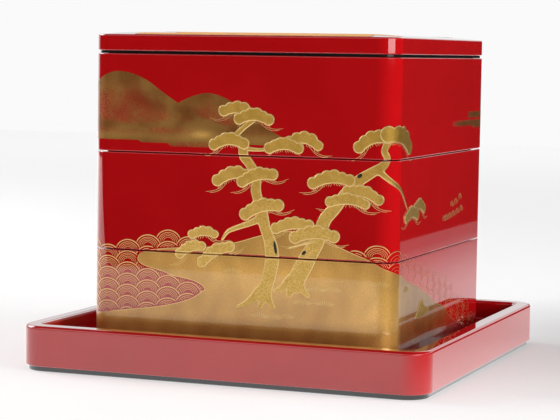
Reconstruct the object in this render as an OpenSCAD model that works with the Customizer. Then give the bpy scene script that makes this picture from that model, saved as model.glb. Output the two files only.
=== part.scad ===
// Stacking lacquer box: three square tiers with a lid, standing on a footed tray.
// +Z is up. The origin is the centre of the tray's base. Sizes are in millimetres.

/* [Boxes] */
// Outside width and depth of the square boxes and the lid
box_width = 196; // [160:1:220]
// Outside height of one tier, from seam to seam
tier_height = 60; // [40:1:80]
// Outside radius of the upright corners
box_corner = 12.5; // [12:0.5:20]
// Thickness of the wall boards
wall = 6; // [5:0.5:7]
// Thickness of the board that closes each tier's bottom
floor_board = 4; // [3:0.5:6]
// How far the boxes stand from the tray's centre, along X
box_shift = 1.8; // [-5:0.1:5]

/* [Lips] */
// Thickness of the strips that stand up inside each tier's mouth
lip_thick = 2.5; // [2:0.1:3]
// Height of the strips above the tier's top edge
lip_height = 6; // [4:0.5:8]
// Depth of the strips glued below the tier's top edge
lip_glued = 8; // [5:0.5:12]
// Clearance between a lip and the tier or lid that drops over it
lip_gap = 0.3; // [0.2:0.05:0.6]

/* [Lid] */
// Open gap that shows between the lid and the top tier
lid_gap = 1.5; // [0.5:0.1:2.5]
// Depth of that gap, from the outside to the step that closes it
gap_depth = 1.25; // [1:0.25:3]
// Thickness of the lid's top board at its edge
lid_board = 5.5; // [4:0.5:8]
// Rise of the lid's top from its edge to its middle
lid_crown = 1.9; // [1:0.1:3.5]
// Width of the shoulder over which the lid's top rises
lid_shoulder = 28; // [20:1:50]

/* [Tray] */
// Outside width and depth of the tray
tray_width = 260; // [250:1:300]
// Height of the tray, foot included
tray_height = 28; // [26:1:36]
// Outside radius of the tray's corners
tray_corner = 16; // [14:0.5:24]
// Thickness of the tray's walls
tray_wall = 8.5; // [7:0.5:10]
// Height of the tray floor's upper face above the table
tray_floor_top = 14; // [11:0.5:16]
// Thickness of the tray's floor board
tray_floor_board = 5; // [3:0.5:6]
// Height of the foot strips
foot_height = 3; // [2:0.5:5]
// How far the foot is set back from the tray's side
foot_inset = 2; // [1:0.25:3]

/* [Hidden] */
// Depth of the grooves that hold the floor boards
groove = 2;
tray_groove = 3;
// Room between a tier's floor board and the lip below it
seat_room = 1;
// Room between the step under the lid's rails and the top tier
step_room = 0.3;
// Rounding of the edges
box_round = 0.6;
lid_round = 1;
lip_round = 0.6;
tray_round = 2.2;
foot_round = 0.8;
// Overshoot of the cutting shapes
over = 1;

lid_rail = lip_height - lid_gap;
lid_level = tray_floor_top + 3 * tier_height + lid_gap;
floor_level = lip_height + seat_room;

red = [0.62, 0.05, 0.06];
black = [0.06, 0.05, 0.05];

front = -90;
right = 0;
back = 90;
left = 180;

$fn = 96;

// ---------------------------------------------------------------- shared shapes

// The sliver that rounds off the edge at (x, z); (sx, sz) points from it into the wood.
module edge_cut(x, z, sx, sz, radius) {
  translate([x, z])
    difference() {
      translate([sx > 0 ? -over : -radius, sz > 0 ? -over : -radius])
        square(radius + over);
      translate([sx * radius, sz * radius])
        circle(radius);
    }
}

// One board of a square frame, mitred at both ends through the frame's round corners.
// The child is the board's section: X from the corner's centre outwards, Y up.
module side_board(width, corner, turn) {
  reach = width / 2 - corner;
  rotate([0, 0, turn]) {
    translate([reach, reach, 0])
      rotate([90, 0, 0])
        linear_extrude(2 * reach)
          children();
    for (end = [0, 1])
      mirror([0, end, 0])
        translate([reach, reach, 0])
          rotate_extrude(angle = 45)
            children();
  }
}

// A square board with round corners, centred on the origin.
module round_board(width, corner, thick) {
  reach = width / 2 - corner;
  linear_extrude(thick) {
    square([width, 2 * reach], center = true);
    square([2 * reach, width], center = true);
    for (x = [-reach, reach])
      for (y = [-reach, reach])
        translate([x, y])
          circle(corner);
  }
}

// ---------------------------------------------------------------- tiers

module wall_section() {
  inner = box_corner - wall;
  difference() {
    translate([inner, 0])
      square([wall, tier_height]);
    translate([inner - over, floor_level])
      square([groove + over, floor_board]);
    edge_cut(box_corner, 0, -1, 1, box_round);
    edge_cut(box_corner, tier_height, -1, -1, box_round);
  }
}

module tier_wall(level, turn) {
  color(red)
    translate([box_shift, 0, tray_floor_top + level * tier_height])
      side_board(box_width, box_corner, turn)
        wall_section();
}

module tier_floor(level) {
  inset = wall - groove;
  color(black)
    translate([box_shift, 0, tray_floor_top + level * tier_height + floor_level])
      round_board(box_width - 2 * inset, box_corner - inset, floor_board);
}

module lip_section() {
  outer = box_corner - wall;
  inner = outer - lip_thick;
  difference() {
    union() {
      translate([inner, -lip_glued])
        square([lip_thick, lip_glued]);
      translate([inner, 0])
        square([lip_thick - lip_gap, lip_height]);
    }
    edge_cut(outer - lip_gap, lip_height, -1, -1, lip_round);
    edge_cut(inner, lip_height, 1, -1, lip_round);
  }
}

module tier_lip(level, turn) {
  color(black)
    translate([box_shift, 0, tray_floor_top + (level + 1) * tier_height])
      side_board(box_width, box_corner, turn)
        lip_section();
}

module bottom_front_wall() { tier_wall(0, front); }
module bottom_right_wall() { tier_wall(0, right); }
module bottom_back_wall() { tier_wall(0, back); }
module bottom_left_wall() { tier_wall(0, left); }
module bottom_floor() { tier_floor(0); }
module bottom_front_lip() { tier_lip(0, front); }
module bottom_right_lip() { tier_lip(0, right); }
module bottom_back_lip() { tier_lip(0, back); }
module bottom_left_lip() { tier_lip(0, left); }

module middle_front_wall() { tier_wall(1, front); }
module middle_right_wall() { tier_wall(1, right); }
module middle_back_wall() { tier_wall(1, back); }
module middle_left_wall() { tier_wall(1, left); }
module middle_floor() { tier_floor(1); }
module middle_front_lip() { tier_lip(1, front); }
module middle_right_lip() { tier_lip(1, right); }
module middle_back_lip() { tier_lip(1, back); }
module middle_left_lip() { tier_lip(1, left); }

module top_front_wall() { tier_wall(2, front); }
module top_right_wall() { tier_wall(2, right); }
module top_back_wall() { tier_wall(2, back); }
module top_left_wall() { tier_wall(2, left); }
module top_floor() { tier_floor(2); }
module top_front_lip() { tier_lip(2, front); }
module top_right_lip() { tier_lip(2, right); }
module top_back_lip() { tier_lip(2, back); }
module top_left_lip() { tier_lip(2, left); }

// ---------------------------------------------------------------- lid

module rail_section() {
  inner = box_corner - wall;
  step = lid_gap - step_room;
  difference() {
    union() {
      translate([inner, 0])
        square([wall, lid_rail]);
      translate([inner, -step])
        square([wall - gap_depth, step + over]);
    }
    edge_cut(box_corner, 0, -1, 1, box_round);
  }
}

module lid_side_rail(turn) {
  color(red)
    translate([box_shift, 0, lid_level])
      side_board(box_width, box_corner, turn)
        rail_section();
}

module lid_front_rail() { lid_side_rail(front); }
module lid_right_rail() { lid_side_rail(right); }
module lid_back_rail() { lid_side_rail(back); }
module lid_left_rail() { lid_side_rail(left); }

// A board that runs along X, flat in the middle and rolling off to its two long edges.
module vault() {
  half = box_width / 2;
  top = lid_board + lid_crown;
  radius = (lid_shoulder * lid_shoulder + lid_crown * lid_crown) / (2 * lid_crown);
  rotate([90, 0, 90])
    translate([0, 0, -half])
      linear_extrude(box_width)
        difference() {
          translate([-half, 0])
            square([box_width, top]);
          for (side = [0, 1])
            mirror([side, 0])
              translate([half - lid_shoulder, 0])
                difference() {
                  translate([0, lid_board - over])
                    square([lid_shoulder + over, lid_crown + 2 * over]);
                  translate([0, top - radius])
                    circle(radius, $fn = 240);
                }
        }
}

module lid_top() {
  color(red)
    translate([box_shift, 0, lid_level + lid_rail])
      difference() {
        intersection() {
          round_board(box_width, box_corner, lid_board + lid_crown);
          vault();
          rotate([0, 0, 90])
            vault();
        }
        for (turn = [front, right, back, left])
          side_board(box_width, box_corner, turn)
            edge_cut(box_corner, lid_board, -1, -1, lid_round);
      }
}

// ---------------------------------------------------------------- tray

module tray_section() {
  inner = tray_corner - tray_wall;
  floor_bottom = tray_floor_top - tray_floor_board;
  difference() {
    translate([inner, foot_height])
      square([tray_wall, tray_height - foot_height]);
    translate([inner - over, floor_bottom])
      square([tray_groove + over, tray_floor_board]);
    edge_cut(tray_corner, foot_height, -1, 1, tray_round);
    edge_cut(tray_corner, tray_height, -1, -1, tray_round);
    edge_cut(inner, tray_height, 1, -1, tray_round);
  }
}

module tray_wall_board(turn) {
  color(red)
    side_board(tray_width, tray_corner, turn)
      tray_section();
}

module tray_floor() {
  inset = tray_wall - tray_groove;
  color(red)
    translate([0, 0, tray_floor_top - tray_floor_board])
      round_board(tray_width - 2 * inset, tray_corner - inset, tray_floor_board);
}

module foot_section() {
  inner = tray_corner - tray_wall;
  difference() {
    translate([inner, 0])
      square([tray_wall - foot_inset, foot_height]);
    edge_cut(tray_corner - foot_inset, 0, -1, 1, foot_round);
  }
}

module tray_foot(turn) {
  color(black)
    side_board(tray_width, tray_corner, turn)
      foot_section();
}

module tray_front_wall() { tray_wall_board(front); }
module tray_right_wall() { tray_wall_board(right); }
module tray_back_wall() { tray_wall_board(back); }
module tray_left_wall() { tray_wall_board(left); }
module tray_front_foot() { tray_foot(front); }
module tray_right_foot() { tray_foot(right); }
module tray_back_foot() { tray_foot(back); }
module tray_left_foot() { tray_foot(left); }

// ---------------------------------------------------------------- assembly

bottom_front_wall();
bottom_right_wall();
bottom_back_wall();
bottom_left_wall();
bottom_floor();
bottom_front_lip();
bottom_right_lip();
bottom_back_lip();
bottom_left_lip();
middle_front_wall();
middle_right_wall();
middle_back_wall();
middle_left_wall();
middle_floor();
middle_front_lip();
middle_right_lip();
middle_back_lip();
middle_left_lip();
top_front_wall();
top_right_wall();
top_back_wall();
top_left_wall();
top_floor();
top_front_lip();
top_right_lip();
top_back_lip();
top_left_lip();
lid_front_rail();
lid_right_rail();
lid_back_rail();
lid_left_rail();
lid_top();
tray_front_wall();
tray_right_wall();
tray_back_wall();
tray_left_wall();
tray_floor();
tray_front_foot();
tray_right_foot();
tray_back_foot();
tray_left_foot();
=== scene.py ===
"""Three stacked lacquer food boxes with a lid, on a footed tray, with a landscape in gold."""
import math
import bpy
import numpy as np
from mathutils import Matrix, Vector


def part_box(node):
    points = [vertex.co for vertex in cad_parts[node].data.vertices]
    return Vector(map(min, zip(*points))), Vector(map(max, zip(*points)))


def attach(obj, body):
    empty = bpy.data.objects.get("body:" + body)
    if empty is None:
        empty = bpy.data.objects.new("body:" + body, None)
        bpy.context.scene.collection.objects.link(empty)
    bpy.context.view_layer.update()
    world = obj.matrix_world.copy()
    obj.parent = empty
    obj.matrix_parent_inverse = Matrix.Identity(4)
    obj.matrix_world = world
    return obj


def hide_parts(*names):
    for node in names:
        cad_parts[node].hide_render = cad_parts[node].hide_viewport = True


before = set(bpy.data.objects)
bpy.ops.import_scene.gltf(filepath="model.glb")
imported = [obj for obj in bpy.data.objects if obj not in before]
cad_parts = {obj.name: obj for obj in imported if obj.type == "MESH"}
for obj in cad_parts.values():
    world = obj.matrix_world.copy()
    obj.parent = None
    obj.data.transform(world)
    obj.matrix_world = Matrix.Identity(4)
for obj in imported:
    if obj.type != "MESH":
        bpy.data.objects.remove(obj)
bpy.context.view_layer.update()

# Everything below is worked out in millimetres and scaled once, when a mesh is made.
MM = 0.001
SIDES = ("front", "right", "back", "left")
TIERS = ("bottom", "middle", "top")

# Radii and rounds that the boxes' own corners tell but a bounding box doesn't.
BOX_CORNER = 12.5
TRAY_CORNER = 16
FOOT_CORNER = 14
BOX_EDGE = 0.6
INNER_EDGE = 0.5
LIP_EDGE = 0.6
LID_EDGE = 1
LID_CROWN = 1.9
LID_FLAT = 70
LID_SHOULDER = 28
LID_TURN = math.radians(82)
LID_RINGS = (0.985, 0.96, 0.93, 0.89, 0.85, 0.8, 0.75, 0.7, 0.6, 0.4, 0.2)
LID_STEP = 1.2
STEP_DROP = 0.45
GAP_DEPTH = 1.25
TIGHT = 0.15
TRAY_EDGE = 2.2
TRAY_COVE = 3
FOOT_EDGE = 0.8
FOOT_TOP_EDGE = 0.2
FOOT_SUNK = 0.5
CORNER_STEPS = 24
HAIRLINE = 0.25

RED, BLACK = 0, 1


def span(node):
    """Lowest and highest corner of a CAD node, in millimetres."""
    low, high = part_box(node)
    return np.array(low) / MM, np.array(high) / MM


# ---------------- outlines and surfaces


class Square:
    """A rounded square seen from above. s runs round it from the front's middle towards +X."""

    def __init__(self, low, high, corner):
        self.half = (high[0] - low[0]) / 2
        self.corner = corner
        self.reach = self.half - corner
        self.pitch = 2 * self.reach + corner * math.pi / 2
        self.centre = (low[:2] + high[:2]) / 2

    def at(self, s):
        """Points on the outline and their outward normals."""
        side = np.floor((s + self.reach) / self.pitch)
        along = s + self.reach - side * self.pitch
        turn = np.clip((along - 2 * self.reach) / self.corner, 0, math.pi / 2)
        x = np.minimum(along, 2 * self.reach) - self.reach + self.corner * np.sin(turn)
        y = -self.reach - self.corner * np.cos(turn)
        c, k = np.cos(side * math.pi / 2), np.sin(side * math.pi / 2)
        nx, ny = np.sin(turn), -np.cos(turn)
        points = np.stack([c * x - k * y, k * x + c * y], -1) + self.centre
        return points, np.stack([c * nx - k * ny, k * nx + c * ny], -1)

    def stops(self):
        """Distances s at the ends of each straight side and along each corner."""
        corner = np.linspace(self.reach, self.pitch - self.reach, CORNER_STEPS + 1)
        return np.concatenate([side * self.pitch + corner for side in range(4)])


def rounded(corners, closed=True, steps=6):
    """Profile through (out, z, radius, slot) corners, counter-clockwise: points, normals and slots."""
    points, normals, slots = [], [], []
    count = len(corners)
    for i, (out, z, radius, slot) in enumerate(corners):
        here = np.array([out, z], float)
        if not closed and i in (0, count - 1):
            other = np.array(corners[1 if i == 0 else count - 2][:2], float)
            along = (other - here) if i == 0 else (here - other)
            along /= np.linalg.norm(along)
            points.append(here)
            normals.append(np.array([along[1], -along[0]]))
            slots.append(slot)
            continue
        back = np.array(corners[i - 1][:2], float) - here
        ahead = np.array(corners[(i + 1) % count][:2], float) - here
        back /= np.linalg.norm(back)
        ahead /= np.linalg.norm(ahead)
        half = math.acos(np.clip(back @ ahead, -1, 1)) / 2
        middle = back + ahead
        centre = here + middle / np.linalg.norm(middle) * radius / math.sin(half)
        start = here + back * radius / math.tan(half) - centre
        finish = here + ahead * radius / math.tan(half) - centre
        first = math.atan2(start[1], start[0])
        turn = (math.atan2(finish[1], finish[0]) - first + math.pi) % (2 * math.pi) - math.pi
        facing = 1 if turn > 0 else -1
        for angle in np.linspace(first, first + turn, steps + 1):
            ray = np.array([math.cos(angle), math.sin(angle)])
            points.append(centre + radius * ray)
            normals.append(facing * ray)
            slots.append(slot)
    return np.array(points), np.array(normals), slots


def new_piece(name, points, faces, normals, materials, slots=None, values=None):
    """A mesh object from millimetre points, with its own vertex normals and point attributes."""
    mesh = bpy.data.meshes.new(name)
    mesh.from_pydata((points * MM).tolist(), [], faces)
    for material in materials:
        mesh.materials.append(material)
    if slots is not None:
        mesh.polygons.foreach_set("material_index", slots)
    mesh.polygons.foreach_set("use_smooth", np.ones(len(mesh.polygons), bool))
    for key, value in (values or {}).items():
        layer = mesh.attributes.new(key, "FLOAT", "POINT")
        layer.data.foreach_set("value", value.astype(np.float32))
    mesh.normals_split_custom_set_from_vertices(normals.tolist())
    piece = bpy.data.objects.new(name, mesh)
    bpy.context.scene.collection.objects.link(piece)
    return piece


def ring_faces(rows, columns, closed):
    """Quads between rows of points that each run once round."""
    last = rows if closed else rows - 1
    faces = []
    for i in range(last):
        for j in range(columns):
            a, b = i * columns, ((i + 1) % rows) * columns
            faces.append((a + j, a + (j + 1) % columns, b + (j + 1) % columns, b + j))
    return faces


def carried(base, out, profile, facing):
    """Carries a profile round an outline: rows of points and of normals, one for each of its points."""
    flat = np.ones((len(base), 1))
    points = [np.hstack([base + out * depth, flat * z]) for depth, z in profile]
    return points, [np.hstack([out * outward, flat * upward]) for outward, upward in facing]


def sweep(name, square, corners, closed=True):
    """A lacquered profile round a rounded square. An open profile's two ends are closed with flat fans."""
    profile, facing, slots = rounded(corners, closed)
    base, out = square.at(square.stops())
    columns = len(base)
    points, normals = carried(base, out, profile, facing)
    faces = ring_faces(len(profile), columns, closed)
    paint = [slots[face[0] // columns] for face in faces]
    if not closed:
        final, middle = (len(profile) - 1) * columns, len(profile) * columns
        for j in range(columns):
            after = (j + 1) % columns
            faces += [(after, j, middle), (final + j, final + after, middle + 1)]
            paint += [slots[0], slots[-1]]
        points.append([[*square.centre, profile[0][1]], [*square.centre, profile[-1][1]]])
        normals.append([[0, 0, facing[0][1]], [0, 0, facing[-1][1]]])
    return new_piece(name, np.vstack(points), faces, np.vstack(normals), LACQUERS, paint)


# ---------------- materials


class Nodes:
    """A small helper for writing the node tree of one material or world."""

    def __init__(self, owner, source="Object"):
        owner.use_nodes = True
        self.owner = owner
        self.tree = owner.node_tree
        self.tree.nodes.clear()
        self.place = self.add("ShaderNodeTexCoord").outputs[source]
        parts = self.add("ShaderNodeSeparateXYZ")
        self.link(self.place, parts.inputs[0])
        self.across, self.back, self.level = parts.outputs

    def add(self, kind, **settings):
        node = self.tree.nodes.new(kind)
        for key, value in settings.items():
            setattr(node, key, value)
        return node

    def link(self, source, target):
        self.tree.links.new(source, target)

    def fill(self, socket, value):
        if isinstance(value, bpy.types.NodeSocket):
            self.link(value, socket)
        else:
            socket.default_value = value

    def distance(self, place):
        """Distance from a place, in metres."""
        node = self.add("ShaderNodeVectorMath", operation="DISTANCE")
        self.link(self.place, node.inputs[0])
        node.inputs[1].default_value = place
        return node.outputs["Value"]

    def noise(self, size, detail=2.0):
        """Cloudy noise whose features are about size millimetres across."""
        node = self.add("ShaderNodeTexNoise")
        node.inputs["Scale"].default_value = 1 / (size * MM)
        node.inputs["Detail"].default_value = detail
        self.link(self.place, node.inputs["Vector"])
        return node.outputs["Fac"]

    def ramp(self, value, low, high, out_low=0.0, out_high=1.0, kind="SMOOTHSTEP"):
        node = self.add("ShaderNodeMapRange", interpolation_type=kind)
        for socket, setting in zip(node.inputs, (value, low, high, out_low, out_high)):
            self.fill(socket, setting)
        return node.outputs["Result"]

    def mix(self, factor, first, second):
        """Mixes two colours."""
        node = self.add("ShaderNodeMix", data_type="RGBA")
        for socket, setting in ((0, factor), (6, first), (7, second)):
            self.fill(node.inputs[socket], setting)
        return node.outputs[2]

    def math(self, operation, *values):
        node = self.add("ShaderNodeMath", operation=operation)
        for socket, value in zip(node.inputs, values):
            self.fill(socket, value)
        return node.outputs[0]

    def value(self, name):
        return self.add("ShaderNodeAttribute", attribute_name=name).outputs["Fac"]

    def bump(self, height, depth, strength=1.0):
        """A bump of depth millimetres."""
        node = self.add("ShaderNodeBump")
        node.inputs["Strength"].default_value = strength
        node.inputs["Distance"].default_value = depth * MM
        self.link(height, node.inputs["Height"])
        return node.outputs["Normal"]

    def finish(self, **inputs):
        """Adds the surface shader, with the given inputs, and the output."""
        shader = self.add("ShaderNodeBsdfPrincipled")
        for key, value in inputs.items():
            self.fill(shader.inputs[key.replace("_", " ")], value)
        output = self.add("ShaderNodeOutputMaterial")
        self.link(shader.outputs[0], output.inputs["Surface"])
        return self.owner


def new_material(name):
    return Nodes(bpy.data.materials.new(name))


def colour(red, green, blue):
    return (red, green, blue, 1.0)


def grey(level):
    return colour(level, level, level)


def lacquer(name, deep, light, gloss=0.02):
    """Polished urushi: an even colour with faint clouding, a hair of waviness and a clear coat."""
    n = new_material(name)
    cloud = n.ramp(n.noise(38, 3), 0.35, 0.65)
    return n.finish(
        Base_Color=n.mix(cloud, deep, light),
        Roughness=n.ramp(n.noise(6), 0.3, 0.7, gloss, gloss + 0.02),
        Normal=n.bump(n.noise(24, 1), 0.004),
        Coat_Weight=1.0,
        Coat_Roughness=0.03,
    )


RED_DEEP = colour(0.37, 0.0028, 0.0042)
RED_LIGHT = colour(0.395, 0.0034, 0.005)


def raised_gold():
    """Raised gold: satin powder inside each form, burnished along its rim, and paler low on the boxes as a
    painted highlight.
    """
    n = new_material("raised_gold")
    rim = n.value("rim")
    grain = n.noise(0.5, 3)
    drift = n.ramp(n.noise(7, 2), 0.35, 0.65)
    pale = n.mix(drift, colour(0.84, 0.56, 0.17), colour(0.92, 0.64, 0.21))
    deep = n.mix(drift, colour(0.62, 0.36, 0.07), colour(0.76, 0.46, 0.10))
    # Painted highlight: paler gold low on the boxes, deeper gold higher up.
    fill = n.mix(n.ramp(n.level, 0.05, 0.15), pale, deep)
    fill = n.mix(n.ramp(grain, 0.25, 0.7), colour(0.55, 0.31, 0.05), fill)
    return n.finish(
        Base_Color=n.mix(rim, fill, colour(0.93, 0.68, 0.29)),
        Metallic=0.92,
        Roughness=n.ramp(rim, 0, 1, 0.5, 0.4),
        Normal=n.bump(grain, 0.03, 0.4),
    )


def dusted_gold(name, coat, rim):
    """Gold powder in the lacquer, coated or bare. The gold attribute sets how densely it is strewn."""
    n = new_material(name)
    gold = n.value("gold")
    # The second attribute runs the powder from dark brown to bright orange: its tone, and on the land a
    # painted highlight and a painted shadow.
    tone_and_light = n.value("tone_and_light")
    grain = n.noise(0.45, 2)
    coarse = n.noise(1.3, 2)
    speck = n.math("ADD", n.math("MULTIPLY", grain, 0.82), n.math("MULTIPLY", coarse, 0.18))
    edge = n.math("SUBTRACT", 0.74, n.math("MULTIPLY", gold, 0.5))
    density = n.ramp(speck, n.math("SUBTRACT", edge, 0.07), n.math("ADD", edge, 0.07))
    powder = n.mix(tone_and_light, colour(0.22, 0.062, 0.008), colour(0.98, 0.56, 0.14))
    powder = n.mix(n.ramp(n.noise(12, 3), 0.35, 0.65, 0, 0.3), powder, colour(0.60, 0.34, 0.09))
    powder = n.mix(n.ramp(n.noise(0.9, 2), 0.42, 0.6, 0.14, 0), powder, colour(0.16, 0.06, 0.012))
    return n.finish(
        Base_Color=n.mix(density, RED_DEEP, powder),
        Metallic=n.math("MULTIPLY", density, 0.72),
        Roughness=n.ramp(density, 0, 1, 0.25, 0.36),
        Specular_Tint=rim,
        Coat_Weight=coat,
        Coat_Roughness=0.03,
    )


def ink():
    """The black lacquer of a knot in the bark, with a little gold caught in it."""
    n = new_material("knot_black")
    caught = n.ramp(n.noise(0.8), 0.55, 0.8)
    return n.finish(
        Base_Color=n.mix(caught, colour(0.012, 0.008, 0.006), colour(0.12, 0.08, 0.02)),
        Roughness=0.35,
        Coat_Weight=0.2,
    )


# Middle of the soft shadow painted on the floor.
SHADE = (0.26, 0.16, 0)


def paper(name, dims_away):
    """Pale, matt floor paper with a trace of tooth and a soft painted shadow on the object's right. It glows
    a little more far off, and it can darken away to the right as a painted falloff of the light."""
    n = new_material(name)
    # Painted shadow: the paper is darker, and glows less, round SHADE.
    dim = n.ramp(n.distance(SHADE), 0.07, 0.29, 0.6, 1.0, "LINEAR")
    if dims_away:
        # Painted falloff of light: the mirrored paper darkens towards the right.
        dim = n.math("MINIMUM", dim, n.ramp(n.across, 0.08, 0.34, 0.95, 0.1, "LINEAR"))
    glow = n.ramp(n.distance((0, 0, 0)), 0.6, 2.9, 0.34, 0.575)
    white = n.mix(n.ramp(n.noise(60, 2), 0.3, 0.7), grey(0.75), grey(0.77))
    return n.finish(
        Base_Color=n.mix(dim, colour(0.02, 0.025, 0.03), white),
        Roughness=0.9,
        Specular_IOR_Level=0.1,
        Emission_Color=grey(1),
        Emission_Strength=n.math("MULTIPLY", dim, glow),
    )


red_lacquer = lacquer("red_lacquer", RED_DEEP, RED_LIGHT)
black_lacquer = lacquer("black_lacquer", colour(0.007, 0.0055, 0.0055), colour(0.011, 0.008, 0.008))
LACQUERS = (red_lacquer, black_lacquer)
gold_relief = raised_gold()
gold_dust = dusted_gold("dusted_gold", 1.0, grey(1))
bare_dust = dusted_gold("bare_gold", 0.0, colour(0.90, 0.52, 0.16))
knot_black = ink()


# ---------------- boxes, lid and tray


def all_nodes(pattern):
    return [pattern.format(side) for side in SIDES]


def tier_square(tier):
    """A tier's outline and the lowest and highest level of its lacquer, a hair short of its neighbours'."""
    low, _ = span(f"{tier}_left_wall")
    _, high = span(f"{tier}_right_wall")
    return Square(low, high, BOX_CORNER), low[2] + HAIRLINE, high[2] - HAIRLINE


def wall_thickness(tier):
    low, high = span(f"{tier}_right_wall")
    return high[0] - low[0]


def lacquered(name, square, corners, body, covered, closed=True):
    """A swept piece of one body, which stands in for the covered CAD nodes."""
    piece = sweep(name, square, corners, closed)
    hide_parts(*covered)
    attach(piece, body)


def tier_shell(tier):
    """The four mitred walls under one skin of lacquer, red outside and black inside."""
    square, bottom, top = tier_square(tier)
    inside = -wall_depth
    corners = [
        (0, bottom, BOX_EDGE, RED),
        (0, top, BOX_EDGE, RED),
        (inside, top, INNER_EDGE, BLACK),
        (inside, bottom, INNER_EDGE, BLACK),
    ]
    covered = all_nodes(f"{tier}_{{}}_wall")
    lacquered(f"{tier}_shell", square, corners, f"{tier}_tier", covered)


def tier_lip(tier):
    """The black strips round a tier's mouth, which the tier above or the lid drops over."""
    square, _, _ = tier_square(tier)
    low, high = span(f"{tier}_right_lip")
    face = high[0] - square.centre[0] - square.half
    inner = low[0] - square.centre[0] - square.half
    corners = [
        (face, low[2], LIP_EDGE, BLACK),
        (face, high[2], LIP_EDGE, BLACK),
        (inner, high[2], LIP_EDGE, BLACK),
        (inner, low[2], LIP_EDGE, BLACK),
    ]
    covered = all_nodes(f"{tier}_{{}}_lip")
    lacquered(f"{tier}_lip", square, corners, f"{tier}_tier", covered)


def lid_square():
    low, _ = span("lid_left_rail")
    _, high = span("lid_right_rail")
    return Square(low, high, BOX_CORNER)


def lid_height(x, y):
    """Height of the lid's top at a point measured from its middle, with its slope along x and y."""
    _, high = span("lid_top")
    px, py = (np.maximum(np.abs(v) - LID_FLAT, 0) / LID_SHOULDER for v in (x, y))
    d = np.maximum((px**4 + py**4) ** 0.25, 1e-6)
    z = high[2] - LID_CROWN * d**2
    slope_x = -2 * LID_CROWN * px**3 / d**2 / LID_SHOULDER * np.sign(x)
    slope_y = -2 * LID_CROWN * py**3 / d**2 / LID_SHOULDER * np.sign(y)
    return z, slope_x, slope_y


def lid_skirt():
    """The side rails, from inside the lid to its side. A black step under them closes the open seam."""
    low, _ = span("lid_right_rail")
    ceiling, _ = span("lid_top")
    step_bottom, rim_bottom = low[2] - STEP_DROP, low[2] + LID_STEP
    corners = [
        (-wall_depth, ceiling[2], 0, BLACK),
        (-wall_depth, step_bottom, TIGHT, BLACK),
        (-GAP_DEPTH, step_bottom, TIGHT, BLACK),
        (-GAP_DEPTH, rim_bottom, TIGHT, BLACK),
        (0, rim_bottom, BOX_EDGE, RED),
        (0, ceiling[2], 0, RED),
    ]
    profile, facing, slots = rounded(corners, closed=False)
    return profile[:-1], facing[:-1], slots[:-1]


def lid_top(base, out, middle):
    """Rows of points and normals over the lid's rounded edge and its crown, from the side inwards."""
    points, normals = [], []
    rim = base + out * LID_EDGE * (math.cos(LID_TURN) - 1) - middle
    rim_level = lid_height(rim[:, 0], rim[:, 1])[0]
    for angle in np.linspace(0, LID_TURN, 9):
        ring = base + out * LID_EDGE * (math.cos(angle) - 1)
        level = rim_level + LID_EDGE * (math.sin(angle) - math.sin(LID_TURN))
        points.append(np.column_stack([ring, level]))
        normals.append(np.column_stack([out * math.cos(angle), np.full(len(base), math.sin(angle))]))
    for share in LID_RINGS:
        ring = rim * share
        level, slope_x, slope_y = lid_height(ring[:, 0], ring[:, 1])
        points.append(np.column_stack([ring + middle, level]))
        tilt = np.column_stack([-slope_x, -slope_y, np.ones(len(base))])
        normals.append(tilt / np.linalg.norm(tilt, axis=1, keepdims=True))
    return points, normals


def lid_shell():
    """The lid: side rails and crowned top board under one skin."""
    square = lid_square()
    base, out = square.at(square.stops())
    columns = len(base)
    skirt, facing, slots = lid_skirt()
    points, normals = carried(base, out, skirt, facing)
    top_points, top_normals = lid_top(base, out, square.centre)
    points += top_points
    normals += top_normals
    slots += [RED] * len(top_points)
    rows = len(points)
    faces = ring_faces(rows, columns, False)
    paint = [slots[face[0] // columns] for face in faces]
    faces.append(tuple(range(columns))[::-1])
    faces.append(tuple(range((rows - 1) * columns, rows * columns)))
    paint += [BLACK, RED]
    shell = new_piece("lid_shell", np.vstack(points), faces, np.vstack(normals), LACQUERS, paint)
    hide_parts("lid_top", *all_nodes("lid_{}_rail"))
    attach(shell, "lid")


def tray_shell():
    """The tray: walls and floor under one skin, with a cove where they meet."""
    low, _ = span("tray_left_wall")
    wall_low, high = span("tray_right_wall")
    square = Square(low, high, TRAY_CORNER)
    floor_low, floor_high = span("tray_floor")
    inside = wall_low[0] - high[0]
    middle = inside - 1.1 * TRAY_COVE
    corners = [
        (middle, floor_low[2], 0, BLACK),
        (inside, floor_low[2], 1, BLACK),
        (inside, low[2], 1, BLACK),
        (0, low[2], 1, RED),
        (0, high[2], TRAY_EDGE, RED),
        (inside, high[2], TRAY_EDGE, RED),
        (inside, floor_high[2], TRAY_COVE, RED),
        (middle, floor_high[2], 0, RED),
    ]
    covered = ["tray_floor", *all_nodes("tray_{}_wall")]
    lacquered("tray_shell", square, corners, "tray", covered, closed=False)


def tray_foot():
    """The black foot set back under the tray's walls."""
    low, _ = span("tray_left_foot")
    inner, high = span("tray_right_foot")
    square = Square(low, high, FOOT_CORNER)
    inside = inner[0] - high[0]
    corners = [
        (0, low[2], FOOT_EDGE, BLACK),
        (0, high[2] + FOOT_SUNK, FOOT_TOP_EDGE, BLACK),
        (inside, high[2] + FOOT_SUNK, FOOT_TOP_EDGE, BLACK),
        (inside, low[2], FOOT_EDGE, BLACK),
    ]
    lacquered("tray_foot", square, corners, "tray", all_nodes("tray_{}_foot"))


def tier_floors():
    """The floor boards stay as the CAD has them, in black lacquer."""
    for tier in TIERS:
        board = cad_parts[f"{tier}_floor"]
        board.data.materials.clear()
        board.data.materials.append(black_lacquer)


wall_depth = wall_thickness("middle")
for tier in TIERS:
    tier_shell(tier)
    tier_lip(tier)
tier_floors()
lid_shell()
tray_shell()
tray_foot()


# ---------------- the landscape: fields and cuts

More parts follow.
